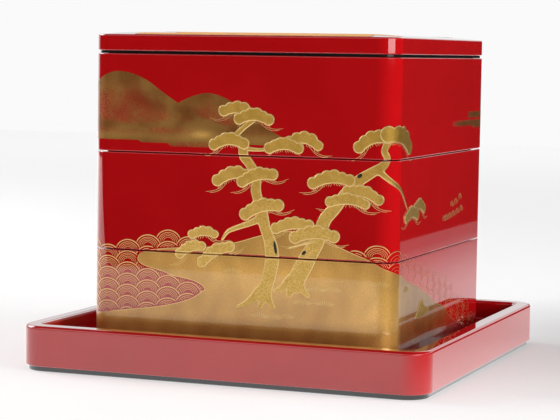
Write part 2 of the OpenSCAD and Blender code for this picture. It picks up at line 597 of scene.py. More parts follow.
# The picture is laid out on the unrolled sides: s runs round the box from the front's middle, z is the
# height. A form is a field over (s, z) that is negative inside it and grows by about 1 a millimetre outwards.


def grid(low_s, high_s, low_z, high_z, step):
    """Points of a regular grid that covers a rectangle."""
    s = np.arange(low_s - step, high_s + 1.5 * step, step)
    z = np.arange(low_z - step, high_z + 1.5 * step, step)
    return np.meshgrid(s, z)


def dot(S, Z, place, radius):
    return np.hypot(S - place[0], Z - place[1]) - radius


def to_line(S, Z, s0, z0, s1, z1):
    """How far along a straight line its nearest point is, as a share, and the distance to it."""
    ds, dz = s1 - s0, z1 - z0
    t = np.clip(((S - s0) * ds + (Z - z0) * dz) / (ds * ds + dz * dz), 0, 1)
    return t, np.hypot(S - s0 - t * ds, Z - z0 - t * dz)


def limb(S, Z, points):
    """A tapering limb through (s, z, width) points."""
    field = np.full(S.shape, 1e3)
    for (s0, z0, w0), (s1, z1, w1) in zip(points, points[1:]):
        t, distance = to_line(S, Z, s0, z0, s1, z1)
        field = np.minimum(field, distance - (w0 + t * (w1 - w0)) / 2)
    return field


def blend(first, second, reach):
    """Union of two fields with a soft crotch between them."""
    h = np.clip(0.5 + 0.5 * (second - first) / reach, 0, 1)
    return second + (first - second) * h - reach * h * (1 - h)


def smooth_line(points, steps=8):
    """A smooth line through (s, z, ...) points."""
    p = np.array(points, float)
    p = np.vstack([2 * p[0] - p[1], p, 2 * p[-1] - p[-2]])
    t = np.linspace(0, 1, steps, endpoint=False)[:, None]
    line = []
    for a, b, c, d in zip(p, p[1:], p[2:], p[3:]):
        bend, twist = 2 * a - 5 * b + 4 * c - d, 3 * b - a - 3 * c + d
        line.append(0.5 * (2 * b + (c - a) * t + bend * t**2 + twist * t**3))
    return np.vstack(line + [p[-2:-1]])


def under(S, Z, crest):
    """The land under a smooth crest line, which runs along +s."""
    line = smooth_line(crest)
    height = np.interp(S, line[:, 0], line[:, 1], left=-1e3, right=-1e3)
    slope = np.gradient(np.interp(S[0], line[:, 0], line[:, 1]), S[0])
    return (Z - height) / np.hypot(1, slope)


def cut_out(S, Z, field):
    """Cuts the grid along the edge of a field. Returns each vertex's s, z, field and the field's slopes, the
    polygons inside, and the pairs of vertices along the edge."""
    step = S[0, 1] - S[0, 0]
    slope_z, slope_s = np.gradient(field, step)
    data = np.stack([S, Z, field, slope_s, slope_z])
    inside = field < 0

    def crossing(a, b):
        share = a[2] / np.where(a[2] == b[2], 1, a[2] - b[2])
        return a + share * (b - a)

    flat = data[:, :, :-1], data[:, :, 1:], inside[:, :-1] != inside[:, 1:]
    tall = data[:, :-1], data[:, 1:], inside[:-1] != inside[1:]
    parts, ids, count = [data[:, inside]], [], inside.sum()
    corner_ids = np.full(inside.shape, -1)
    corner_ids[inside] = np.arange(count)
    for first, second, crossed in (flat, tall):
        where = np.full(crossed.shape, -1)
        where[crossed] = count + np.arange(crossed.sum())
        count += crossed.sum()
        parts.append(crossing(first[:, crossed], second[:, crossed]))
        ids.append(where)
    flat_ids, tall_ids = ids
    corners = corner_ids[:-1, :-1], corner_ids[:-1, 1:], corner_ids[1:, 1:], corner_ids[1:, :-1]
    edges = flat_ids[:-1], tall_ids[:, 1:], flat_ids[1:], tall_ids[:, :-1]
    cell = sum((corner >= 0) * 2**k for k, corner in enumerate(corners))
    polygons, border = [], []
    for case in range(1, 16):
        here = cell == case
        if not here.any():
            continue
        walk, on_edge = [], []
        for k in range(4):
            if case >> k & 1:
                walk.append(corners[k][here])
                on_edge.append(False)
            if (case >> k & 1) != (case >> (k + 1) % 4 & 1):
                walk.append(edges[k][here])
                on_edge.append(True)
        polygons.append(np.stack(walk, -1))
        for k in range(len(walk)):
            after = (k + 1) % len(walk)
            if on_edge[k] and on_edge[after]:
                border.append(np.stack([walk[k], walk[after]], -1))
    return np.hstack(parts), polygons, np.vstack(border)


class Relief:
    """Gathers closed forms for one piece: points, normals, faces and point values."""

    def __init__(self, surface, keys):
        self.surface = surface
        self.keys = keys
        self.points, self.normals, self.faces, self.values = [], [], [], []
        self.count = 0

    def add(self, points, normals, faces, values):
        self.points.append(points)
        self.normals.append(normals)
        self.faces += [tuple(face) for face in (np.asarray(faces) + self.count).tolist()]
        self.values.append(values)
        self.count += len(points)

    def plate(self, S, Z, field, profile, paint, sunk=0.2):
        """A form with its top at profile(inset) above the surface and its base sunk below it. profile gives
        the height and its slope, and paint gives the point values."""
        data, polygons, border = cut_out(S, Z, field)
        s, z, value, slope_s, slope_z = data
        height, rise = profile(np.maximum(-value, 0))
        place, out, along, up = self.surface(s, z)
        tilt = out + along * (rise * slope_s)[:, None] + up * (rise * slope_z)[:, None]
        tilt /= np.linalg.norm(tilt, axis=1, keepdims=True)
        count = len(s)
        base = self.count
        values = paint(s, z, -value)
        self.add(place + out * height[:, None], tilt, np.empty((0, 3), int), values)
        self.add(place - out * sunk, -out, np.empty((0, 3), int), values)
        for faces in polygons:
            self.faces += (faces + base).tolist()
            self.faces += (faces[:, ::-1] + base + count).tolist()
        a, b = border.T
        self.faces += (np.stack([b, a, a + count, b + count], -1) + base).tolist()

    def stroke(self, points, width, height, values):
        """A fine raised line through (s, z) points, three-sided, that thins out at its ends."""
        line = np.array(points, float)
        if len(line) < 2:
            return
        way = np.gradient(line, axis=0)
        way /= np.linalg.norm(way, axis=1, keepdims=True)
        side = np.stack([-way[:, 1], way[:, 0]], -1)
        share = np.linspace(0, 1, len(line))
        half = width / 2 * np.clip(np.minimum(share, 1 - share) * 6 + 0.35, 0, 1)[:, None]
        rows = []
        for offset, lift in ((half, -0.06), (0 * half, height), (-half, -0.06)):
            edge = line + side * offset
            place, out, _, _ = self.surface(edge[:, 0], edge[:, 1])
            rows.append((place + out * lift, out))
        count = len(line)
        points3 = np.vstack([row[0] for row in rows])
        normals = np.vstack([row[1] for row in rows])
        a = np.arange(count - 1)
        faces = []
        for row, after in ((0, 1), (1, 2), (2, 0)):
            first, second = row * count + a, after * count + a
            faces.append(np.stack([first, second, second + 1, first + 1], -1))
        self.add(points3, normals, np.vstack(faces), np.tile(values, (len(points3), 1)))
        ends = [(0, 2 * count, count), (count - 1, 2 * count - 1, 3 * count - 1)]
        self.faces += [tuple(self.count - len(points3) + k for k in end) for end in ends]

    def build(self, name, material, body):
        if not self.points:
            return
        values = np.vstack(self.values)
        piece = new_piece(
            name,
            np.vstack(self.points),
            self.faces,
            np.vstack(self.normals),
            [material],
            values={key: values[:, k] for k, key in enumerate(self.keys)},
        )
        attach(piece, body)


# ---------------- the landscape: forms


def wall_surface(tier):
    """The outside of a tier: gives a point, the outward normal and the directions of s and z, at (s, z)."""
    square, bottom, top = tier_square(tier)

    def surface(s, z):
        base, out = square.at(s)
        near = np.clip(BOX_EDGE - np.minimum(z - bottom, top - z), 0, BOX_EDGE) / BOX_EDGE
        level = np.sqrt(1 - near**2)
        lean = np.where(z < (bottom + top) / 2, -near, near)
        point = np.column_stack([base - out * (BOX_EDGE * (1 - level))[:, None], z])
        normal = np.column_stack([out * level[:, None], lean])
        along = np.column_stack([-out[:, 1], out[:, 0], np.zeros(len(s))])
        return point, normal, along, np.cross(normal, along)

    return surface


def lid_surface(x, y):
    """The lid's top, laid out from its middle."""
    square = lid_square()
    z, slope_x, slope_y = lid_height(x, y)
    flat, full = np.zeros(len(x)), np.ones(len(x))
    point = np.column_stack([x + square.centre[0], y + square.centre[1], z])
    normal = np.column_stack([-slope_x, -slope_y, full])
    normal /= np.linalg.norm(normal, axis=1, keepdims=True)
    return point, normal, np.column_stack([full, flat, slope_x]), np.column_stack([flat, full, slope_y])


class Picture:
    """The gold work on all three tiers. Each form is cut where it crosses from one tier to the next."""

    def __init__(self):
        self.levels = {tier: tier_square(tier)[1:] for tier in TIERS}
        self.raised, self.dusted, self.knots = (
            {tier: Relief(wall_surface(tier), keys) for tier in TIERS}
            for keys in (("rim",), ("gold", "tone_and_light"), ("rim",))
        )

    def plate(self, kind, frame_box, field_of, profile, paint, step):
        low_s, high_s, low_z, high_z = frame_box
        for tier, (bottom, top) in self.levels.items():
            low, high = max(low_z, bottom), min(high_z, top)
            if low >= high:
                continue
            S, Z = grid(low_s, high_s, low, high, step)
            edge = np.maximum(bottom + SEAM_CLEAR - Z, Z - top + SEAM_CLEAR)
            field = np.maximum(field_of(S, Z), edge)
            field[[0, -1]] = np.maximum(field[[0, -1]], step / 2)
            field[:, [0, -1]] = np.maximum(field[:, [0, -1]], step / 2)
            if (field < 0).any():
                kind[tier].plate(S, Z, field, profile, paint)

    def line(self, points, width, height=0.14, shade=1.0):
        """A fine line, broken where it crosses a seam."""
        points = np.array(points, float)
        for tier, (bottom, top) in self.levels.items():
            within = (points[:, 1] > bottom + SEAM_CLEAR) & (points[:, 1] < top - SEAM_CLEAR)
            for run in runs(within):
                self.raised[tier].stroke(points[run], width, height, (shade,))

    def build(self):
        for tier in TIERS:
            body = f"{tier}_tier"
            self.raised[tier].build(f"{tier}_raised_gold", gold_relief, body)
            self.dusted[tier].build(f"{tier}_dusted_gold", gold_dust, body)
            self.knots[tier].build(f"{tier}_bark_knots", knot_black, body)


def runs(flags):
    """Slices over each unbroken run of true flags."""
    steps = np.diff(np.concatenate([[0], flags.astype(int), [0]]))
    ends = zip(np.flatnonzero(steps == 1), np.flatnonzero(steps == -1))
    return [slice(first, after) for first, after in ends if after - first > 1]


SEAM_CLEAR = 0.12
RELIEF_STEP = 0.4
LIMB_LIFT, REAR_LIFT, FRONT_LIFT = 0.0, 0.25, 0.5
KNOT_LIFT = 0.31

# A raised form's height against the distance in from its edge: a burnished rim, a shallow dip, a soft swell.
INSET = (0, 0.12, 0.3, 0.5, 0.75, 1.1, 1.6, 3.0, 5.0)
SWELL = (-0.02, 0.12, 0.22, 0.26, 0.25, 0.19, 0.18, 0.22, 0.27)


def raised_profile(lift):
    def profile(inset):
        height = np.interp(inset, INSET, SWELL)
        return height + lift, (np.interp(inset + 0.1, INSET, SWELL) - height) / 0.1

    return profile


def level_profile(height):
    return lambda inset: (np.full(inset.shape, height), np.zeros(inset.shape))


# Dusted gold lies in the lacquer and hardly stands above it.
FLUSH = level_profile(0.05)


def rim_paint(s, z, inset):
    return np.interp(inset, (0.35, 0.85), (1, 0))[:, None]


class Arch:
    """The lower edge of a pad of needles: an arch over the line from start to end."""

    def __init__(self, start, end, rise, radius):
        self.start = np.array(start)
        self.chord = np.array(end) - start
        self.rise = rise
        self.radius = radius
        self.length = np.hypot(*self.chord)
        self.across = self.chord / self.length
        self.up = np.array([-self.across[1], self.across[0]])

    def at(self, u):
        """Points at shares u of the length."""
        u = np.asarray(u, float)[..., None]
        return self.start + self.chord * u + self.up * (self.rise * 4 * u * (1 - u) - self.radius)


def draw_pad(picture, start, end, rise, radius, lift, wisps):
    """A cloud-like pad of pine needles: lobes along an arch, with a combed lower edge and long wisps."""
    arch = Arch(start, end, rise, radius)
    count = max(3, round(arch.length / (1.2 * radius)) + 1)
    u = np.linspace(0, 1, count)
    base = arch.at(u)
    radii = radius * (0.96 + 0.16 * np.sin(math.pi * u) + 0.05 * np.cos(2.4 * np.arange(count)))
    slim = 0.85 * radius
    spine = [(*(point + arch.up * slim), 2 * slim) for point in arch.at(np.linspace(0, 1, 13))]

    def field(S, Z):
        lobes = [dot(S, Z, point + arch.up * r, r) for point, r in zip(base, radii)]
        return blend(limb(S, Z, spine), np.minimum.reduce(lobes), 0.6)

    low = base.min(0) - 1
    high = base.max(0) + 2.3 * radius
    box = (low[0] - radius, high[0], low[1], high[1] + 1)
    picture.plate(picture.raised, box, field, raised_profile(lift), rim_paint, RELIEF_STEP)
    comb(picture, arch)
    for side in wisps:
        draw_wisps(picture, arch, side)


def comb(picture, arch):
    """Short needles under the lower edge, which lean away from the pad's middle."""
    for k, u in enumerate(np.linspace(0.04, 0.96, int(arch.length / 1.3))):
        root = arch.at(u)
        lean = 1.7 * (u - 0.5) + (0.4 if u > 0.5 else -0.4)
        reach = 1.7 + 0.4 * math.sin(1.9 * k)
        tip = root - arch.up * reach + arch.across * lean * reach
        middle = (root + tip) / 2 - arch.across * lean * 0.15
        picture.line([root + arch.up * 0.3, middle, tip], 0.55, 0.12, 0.8)


# Long needles: how far past the pad's end they reach, how far they drop, and how far in they start.
WISPS = ((9.2, 1.0, 0.12), (7, 2.2, 0.34))


def draw_wisps(picture, arch, side):
    """Long needles that trail past one end of a pad and turn up at their tips."""
    end, outward = (1, 1) if side == "right" else (0, -1)
    tip = arch.at(end)
    across = arch.across * outward
    fall = 3 * arch.rise / arch.length
    for reach, drop, inner in WISPS:
        root = arch.at(abs(end - inner)) - arch.up * 0.2
        first = tip - across * 1.5 - arch.up * (0.2 + 0.75 * drop)
        middle = tip + across * reach * 0.45 - arch.up * (drop + fall * reach * 0.3)
        last = tip + across * reach - arch.up * (drop - 0.5 + fall * reach * 0.3)
        picture.line(smooth_line([root, first, middle, last], 7), 0.45, 0.12, 0.9)


def draw_limbs(picture, limbs, reach=1.2):
    """A trunk or branches: tapering limbs that grow out of each other."""
    smooth = [smooth_line(points, 5) for points in limbs]
    whole = np.vstack(smooth)
    pad = whole[:, 2].max() / 2 + 1
    low, high = whole.min(0) - pad, whole.max(0) + pad
    box = (low[0], high[0], low[1], high[1])

    def field(S, Z):
        total = limb(S, Z, smooth[0])
        for points in smooth[1:]:
            total = blend(total, limb(S, Z, points), reach)
        return total

    picture.plate(picture.raised, box, field, raised_profile(LIMB_LIFT), rim_paint, RELIEF_STEP)


# Hollows in the bark: middle, half-length, half-width, and how far they lean in degrees.
KNOTS = (((24.4, 80), 4, 0.9, 100), ((42.6, 77.8), 1.6, 1.0, 40), ((76.6, 124.6), 1.7, 1.1, 35))


def draw_knot(picture, place, length, width, lean):
    """A dark hollow in the bark."""
    c, k = math.cos(math.radians(lean)), math.sin(math.radians(lean))

    def field(S, Z):
        a = (S - place[0]) * c + (Z - place[1]) * k
        b = (Z - place[1]) * c - (S - place[0]) * k
        return (np.hypot(a / length, b / width) - 1) * width

    box = (place[0] - length, place[0] + length, place[1] - length, place[1] + length)
    picture.plate(picture.knots, box, field, level_profile(KNOT_LIFT), rim_paint, 0.25)


# Pads of needles: the arch's start and end (s, z), its rise, the lobes' radius, its layer, its wisps.
LEFT_END, RIGHT_END, BOTH_ENDS = ("left",), ("right",), ("left", "right")
LEFT_PINE_PADS = (
    ((-9.8, 160.6), (7.5, 160.2), 2.2, 3.4, REAR_LIFT, LEFT_END),
    ((0.2, 156.0), (19.2, 156.0), 2.6, 3.5, FRONT_LIFT, RIGHT_END),
    ((-15.9, 140.2), (3.4, 141.4), 2.8, 3.5, REAR_LIFT, LEFT_END),
    ((32.5, 143.4), (50.5, 141.8), 3.2, 3.4, REAR_LIFT, RIGHT_END),
    ((19.8, 139.2), (38.2, 139.6), 2.4, 3.4, FRONT_LIFT, ()),
    ((-13.4, 118.8), (5.2, 123.4), 2.2, 3.6, REAR_LIFT, LEFT_END),
    ((2.6, 118.6), (22.2, 123.6), 2.0, 3.5, FRONT_LIFT, BOTH_ENDS),
    ((4.8, 99.2), (26.0, 105.4), 2.2, 3.7, FRONT_LIFT, RIGHT_END),
    ((-29.6, 85.6), (-14.8, 86.6), 1.6, 2.8, REAR_LIFT, RIGHT_END),
    ((-37.4, 73.6), (-23.2, 79.0), 1.6, 3.2, FRONT_LIFT, LEFT_END),
    ((-22.8, 69.2), (-4.8, 79.4), 1.8, 3.4, FRONT_LIFT, RIGHT_END),
)
RIGHT_PINE_PADS = (
    ((75.8, 141.4), (93.0, 147.4), 2.6, 3.6, REAR_LIFT, LEFT_END),
    ((93.4, 149.2), (118.6, 141.6), 2.4, 4.9, FRONT_LIFT, RIGHT_END),
    ((47.6, 119.4), (70.4, 121.8), 2.6, 3.6, REAR_LIFT, LEFT_END),
    ((69.0, 115.6), (88.4, 111.0), 2.2, 3.2, REAR_LIFT, RIGHT_END),
    ((58.6, 108.8), (80.4, 108.4), 2.2, 3.2, FRONT_LIFT, BOTH_ENDS),
    ((24.6, 91.6), (45.4, 94.4), 1.8, 3.4, REAR_LIFT, LEFT_END),
    ((36.8, 86.8), (61.2, 88.4), 2.6, 3.8, FRONT_LIFT, BOTH_ENDS),
    ((133.8, 104.0), (151.6, 102.6), 2.4, 3.0, REAR_LIFT, RIGHT_END),
    ((115.4, 99.0), (137.4, 99.6), 2.6, 3.2, FRONT_LIFT, BOTH_ENDS),
)

# Limbs through (s, z, width).
LEFT_PINE = (
    (
        (3.2, 141, 6.5), (3.2, 134.5, 6.2), (6.2, 130.5, 6.0), (10.6, 124.5, 5.6), (12.2, 119.5, 5.4),
        (11.4, 114.5, 6.6), (12.6, 109, 6.4), (15, 101, 8), (17.6, 92, 7), (20.4, 85, 7.6), (22, 79, 8.8),
        (22.4, 72, 9.2), (21, 64, 8.8), (19, 57, 9), (17.4, 52, 10),
    ),
    ((14.6, 53, 7), (10, 48.2, 5.4), (5.8, 45.4, 3.6), (1.2, 43.4, 2.6)),
    ((16.8, 51, 8), (16, 47, 4.4), (15.2, 44.4, 3.6)),
    ((19, 51.6, 7), (21.4, 47.2, 4.2), (23.4, 44.2, 3.2)),
    ((15, 97, 5), (6, 93.2, 3.6), (-1, 90.6, 3), (-6.4, 88, 2.4), (-9.8, 83.4, 1.6)),
)
LEFT_PINE_TWIGS = (
    ((9, 155, 3), (3.6, 151.2, 3.2), (-1, 147, 3.6)),
    ((4, 138.4, 3), (12, 137.9, 2.2), (20, 138.4, 2)),
)
RIGHT_PINE = (
    (
        (93.4, 145, 4.6), (91.2, 139.5, 4), (93, 134.8, 4.2), (90, 130.4, 5.4), (83.4, 126.4, 6.2),
        (76, 121.6, 7), (69, 115, 7), (61.4, 105, 7.6), (55.8, 98.6, 8), (52.8, 91, 8.6),
        (50.6, 84.4, 9.2), (47, 78.4, 10), (43.4, 71.6, 11), (39, 63.6, 11), (36.8, 58.4, 11),
    ),
    ((34.4, 61, 7), (29.4, 56.4, 4.2), (24.6, 54, 2.8)),
    ((36.4, 58, 8), (34.4, 54.8, 4.8), (33.6, 52.6, 4.2)),
    ((39.4, 59, 7), (42.6, 55, 4.2), (45.2, 52.6, 3.4)),
    ((87, 128.6, 4), (95, 122.2, 3.2), (103, 117.4, 2.6), (110, 112, 2), (119, 103.4, 1.3)),
)
RIGHT_PINE_TWIGS = (((50, 85, 2), (41, 82.6, 1.4), (33, 80.2, 0.7)),)

ROCK = (
    (137, 36.5), (143, 42), (147, 46), (151, 47), (156, 43), (160, 42), (167, 39), (160, 37.2),
    (148, 35.8), (137, 36.5),
)
GRASS = (
    (-3, 63.5), (15, 37.5), (23, 36.8), (31, 38), (42, 47), (56, 47), (50, 55), (60, 55.5), (118, 55),
    (90, 60),
)


def draw_grass(picture, place):
    """A low tuft of grass: a wide fan of fine blades."""
    for k in range(-5, 6):
        angle = math.radians(90 - 13 * k)
        reach = 3.4 - 0.12 * abs(k)
        root = np.array([place[0] + 0.8 * k, place[1]])
        ray = np.array([math.cos(angle), math.sin(angle)])
        picture.line([root, root + ray * reach * 0.5 + (0, 0.3), root + ray * reach], 0.6, 0.16, 1.0)


def draw_pine(picture, limbs, twigs, pads):
    draw_limbs(picture, limbs)
    for twig in twigs:
        draw_limbs(picture, [twig])
    for pad in pads:
        draw_pad(picture, *pad)


# The shore, from the left side round the inlet, over the two rises and down the right side.
SHORE = (
    (-196, 8), (-176, 18), (-150, 27), (-120, 32.5), (-92, 34.5), (-70, 37.5), (-50, 40.5), (-33, 45),
    (-23, 50.5), (-21, 53.5), (-28, 57.5), (-42, 60), (-50, 62.5), (-62, 65.5), (-65.5, 69.5), (-60, 74),
    (-42, 76.5), (-20, 78), (0, 82), (13, 86), (30, 90), (47, 88), (62, 83), (72, 79), (84, 75), (91, 71),
    (100, 67.5), (111, 64.5), (122, 60), (140, 56), (152, 52), (167, 47), (180, 41.5), (197, 37.5),
    (210, 31), (225, 25), (245, 19), (262, 8),
)
BIG_HILL = (
    (-182, 138), (-165, 149), (-145, 157), (-122, 164), (-106, 172.5), (-94, 178), (-86, 181.8),
    (-79, 183), (-70, 181.6), (-60, 177.5), (-48, 169.5), (-36, 162.5), (-22, 156), (-4, 150), (14, 145),
    (30, 138),
)
SMALL_HILL = (
    (-60, 138), (-50, 156), (-42, 163), (-31, 168.5), (-20, 170.8), (-10, 168.4), (0, 163), (9, 156.5),
    (18, 150.6), (27, 146), (38, 138),
)
# Bars of mist along the hills' foot: left end, right end, level and half-thickness.
MIST = ((-176, -56, 144.2, 2.7), (-66, -30, 142.8, 2.7), (-46, -18, 140.8, 2.6), (-20, 26, 143.2, 2.6))
CLOUDS = ((211, 304, 151.9, 2.0), (247, 296, 157.1, 2.2), (258, 318, 149.9, 1.6))


def region(S, Z, outline):
    """Signed distance to a closed outline."""
    nearest = np.full(S.shape, 1e3)
    inside = np.zeros(S.shape, bool)
    for (s0, z0), (s1, z1) in zip(outline, np.roll(outline, -1, axis=0)):
        nearest = np.minimum(nearest, to_line(S, Z, s0, z0, s1, z1)[1])
        if z0 != z1:
            inside ^= ((z0 > Z) != (z1 > Z)) & (S < s0 + (Z - z0) / (z1 - z0) * (s1 - s0))
    return np.where(inside, -1, 1) * nearest


def bars(S, Z, rows):
    """Rounded level bars."""
    parts = []
    for left, right, level, half in rows:
        nearest = np.clip(S, left + half, right - half)
        parts.append(np.hypot(S - nearest, Z - level) - half)
    return np.minimum.reduce(parts)


def ripple(s, z):
    """A slow, uneven drift for the density of the dusted gold."""
    return np.sin(s / 7.3 + np.sin(z / 5.1)) * np.sin(z / 3.7 + np.sin(s / 11.9))


def bell(x, middle, width):
    return np.exp(-(((x - middle) / width) ** 2))


def land_paint(s, z, inset):
    """Dense gold on the land, thinner where it runs out on the right side. Painted highlight: warmest low at
    the near corner and denser all along it. Painted shadow: darker on the right side, most of all low down.
    """
    run_out = np.interp(s, (-190, -120, 175, 245), (0.3, 1, 1, 0.25))
    gold = (0.82 + 0.06 * ripple(s, z) + 0.2 * bell(inset, 0, 1.2)) * run_out
    tone_and_light = 0.56 + 0.34 * bell(z, 62, 11) * bell(s, 20, 50) + 0.12 * bell(z, 34, 7) - 0.6 * bell(z, 12, 13)
    # Painted highlight: warmer gold low on the near corner.
    tone_and_light += 0.75 * bell(s, 98, 22) * bell(z, 26, 30)
    # Painted shadow: darker, thinner gold on the right side, deepest low down. The gold is also denser along
    # the near corner, a painted highlight.
    turned = np.interp(s, (103, 111), (0, 1)) * np.interp(z, (28, 50), (1, 0.3))
    gold = gold * (1 - 0.2 * turned) + 0.12 * bell(s, 98, 9)
    tone_and_light = np.clip(tone_and_light + 0.1 * ripple(z, s), 0, 1) * (1 - 0.85 * turned)
    return np.stack([np.clip(gold, 0, 1), tone_and_light], -1)


def hill_paint(crest):
    """Gold thick along the crest, thin in the middle of the slope, thick again in two bands of mist."""
    line = smooth_line(crest)

    def paint(s, z, inset):
        below = np.interp(s, line[:, 0], line[:, 1]) - z
        gold = 0.52 + 0.32 * bell(below, 0, 9) + 0.3 * bell(z, 150.6 + 1.2 * np.sin(s / 9), 2.2)
        gold += 0.36 * bell(z, 143.2, 2.6) + 0.3 * bell(s, -24, 7) * bell(z, 145.8, 2)
        tone_and_light = 0.12 + 0.1 * ripple(s, z) + 0.15 * bell(z, 144, 3)
        tone_and_light += 0.8 * bell(s, -24, 7) * bell(z, 145.8, 2.4)
        return np.stack([np.clip(gold + 0.06 * ripple(z, s), 0, 1), np.clip(tone_and_light, 0, 1)], -1)

    return paint


def cloud_paint(s, z, inset):
    thick = np.interp(inset, (0, 1.2), (0.4, 0.75)) * np.interp(s, (212, 232), (0.5, 1))
    return np.stack([thick, np.full(s.shape, 0.02)], -1)


# Bars of mist on the lid's top, laid out from its middle: left end, right end, how far back, half-thickness.
LID_MIST = (
    (-70, 82, -93.5, 6.5), (-48, 96, -82, 5.5), (-60, 40, -71.5, 5), (-22, 70, -61.5, 5),
    (-38, 24, -52, 4.5), (34, 86, 58, 4.5), (18, 78, 67.5, 4.5),
)


def lid_mist():
    """Mist in dusted gold on the lid's top, near its front and back edges, thinner towards the middle."""
    square = lid_square()
    X, Y = grid(-square.half, square.half, -square.half, square.half, 1.0)
    nearest = [np.clip(v, -square.reach, square.reach) for v in (X, Y)]
    outline = np.hypot(X - nearest[0], Y - nearest[1]) - square.corner + LID_EDGE
    field = np.maximum(bars(X, Y, LID_MIST), outline)

    def paint(x, y, inset):
        thick = np.interp(inset, (0, 4), (0.42, 0.8)) * np.interp(np.abs(y), (45, 80), (0.75, 1))
        return np.stack([thick, np.full(x.shape, 1.0)], -1)

    mist = Relief(lid_surface, ("gold", "tone_and_light"))
    mist.plate(X, Y, field, FLUSH, paint)
    mist.build("lid_dusted_gold", bare_dust, "lid")


def draw_land(picture):
    outline = smooth_line(SHORE, 5)
    box = (-200, 268, 10, 92)
    picture.plate(picture.dusted, box, lambda S, Z: region(S, Z, outline), FLUSH, land_paint, 1.0)
    picture.line(outline, 0.9, 0.1, 0.9)


# The hills, the farther one first: crest, height above the lacquer, lowest level, mist along the foot.
HILLS = ((SMALL_HILL, 0.04, 143, ()), (BIG_HILL, 0.08, 144, MIST))


def draw_hills(picture):
    for crest, lift, foot, mist in HILLS:

        def field(S, Z):
            hill = np.maximum(under(S, Z, crest), foot - Z)
            return np.minimum(hill, bars(S, Z, mist)) if mist else hill

        box = (crest[0][0] - 2, crest[-1][0] + 4, 137, 186)
        picture.plate(picture.dusted, box, field, level_profile(lift), hill_paint(crest), 0.8)
    box = (210, 322, 146, 161)
    picture.plate(picture.dusted, box, lambda S, Z: bars(S, Z, CLOUDS), FLUSH, cloud_paint, 0.5)


# Waves: overlapping fans of arcs with one middle, in columns WAVE_COLUMN apart. Lower fans lie in front.
WAVE_RADIUS = 8.6
WAVE_COLUMN = np.array([13.5, -3.4])
WAVE_STEP = 6.9
WAVE_SQUASH = 0.87
WAVE_LINES = ((8.2, 0.95), (6.6, 0.5), (5.5, 0.4), (4.4, 0.4), (3.3, 0.4))
LEFT_WATER = (
    (-170, 8), (-165, 44), (-140, 74), (-118, 78), (-97, 78), (-82, 73), (-66, 76), (-50, 79), (-36, 84),
    (-28, 82), (-26, 70), (-14, 56), (-16, 46), (-60, 30),
)
RIGHT_WATER = (
    (68, 74), (84, 78), (98, 76), (112, 72), (135, 68), (165, 64), (180, 58), (198, 54), (216, 45),
    (238, 38), (262, 26), (275, 14), (230, 8), (180, 30), (120, 56), (84, 66),
)


def draw_waves(picture, water, origin, shore):
    """Fills the water with fans whose middles lie inside its outline. They thin out along the right side."""
    water = np.array(water, float)
    column, step = np.meshgrid(np.arange(-14, 15), np.arange(-16, 17))
    s = origin[0] + column * WAVE_COLUMN[0]
    z = origin[1] + column * WAVE_COLUMN[1] + step * WAVE_STEP
    fans = np.stack([s.ravel(), z.ravel()], -1)
    fans = fans[region(fans[:, 0], fans[:, 1], water) < 0]
    for s, z in fans:
        gap = np.hypot(fans[:, 0] - s, (fans[:, 1] - z) / WAVE_SQUASH)
        nearer = fans[(fans[:, 1] < z - 0.1) & (gap < 2 * WAVE_RADIUS)]
        faint = np.interp(s, (98, 130), (1, 0.45))
        for radius, width in WAVE_LINES if faint == 1 else WAVE_LINES[::2]:
            angle = np.radians(np.linspace(-10, 190, int(12 + 3 * radius)))
            line = np.stack([s + radius * np.cos(angle), z + WAVE_SQUASH * radius * np.sin(angle)], -1)
            shown = region(line[:, 0], line[:, 1], shore) > 0.7
            if len(nearer):
                gaps = np.hypot(line[:, :1] - nearer[:, 0], (line[:, 1:] - nearer[:, 1]) / WAVE_SQUASH)
                shown &= gaps.min(1) > WAVE_RADIUS
            for run in runs(shown):
                picture.line(line[run], width * faint, 0.1, 0.75)


def draw_sprig(picture):
    """A small floating sprig on the right side: thin stems with curled tufts of needles."""
    sprays = (((194, 91.5), (214, 93.2), (238, 96)), 6), (((212, 99.5), (222, 101), (233, 104)), 3)
    for stem, count in sprays:
        line = smooth_line(stem, 8)
        picture.line(line, 0.6, 0.12, 0.7)
        for k in np.linspace(1, len(line) - 2, count).astype(int):
            for reach in (1.0, 0.72, 0.44):
                angle = np.linspace(-0.5, math.pi + 0.2, 12)
                tuft = np.stack([3.6 * reach * np.cos(angle), 2.4 * reach * np.sin(angle) + 0.8], -1)
                picture.line(line[k] + tuft, 0.6, 0.12, 0.8)


def draw_rock(picture):
    """A small peaked boulder, half sunk in the shore of the right side."""
    outline = smooth_line(ROCK, 4)[:-1]
    box = (132, 172, 32, 52)
    profile = raised_profile(REAR_LIFT)
    picture.plate(picture.raised, box, lambda S, Z: region(S, Z, outline), profile, rim_paint, 0.5)


def draw_landscape():
    picture = Picture()
    shore = smooth_line(SHORE, 5)
    draw_hills(picture)
    draw_land(picture)
    draw_waves(picture, LEFT_WATER, (-72.2, 52.4), shore)
    draw_waves(picture, RIGHT_WATER, (88, 70), shore)
    draw_pine(picture, RIGHT_PINE, RIGHT_PINE_TWIGS, RIGHT_PINE_PADS)
    draw_pine(picture, LEFT_PINE, LEFT_PINE_TWIGS, LEFT_PINE_PADS)
    for knot in KNOTS:
        draw_knot(picture, *knot)
    for place in GRASS:
        draw_grass(picture, place)
    draw_sprig(picture)
    draw_rock(picture)
    picture.build()


draw_landscape()
lid_mist()


# ---------------- floor, lights and camera


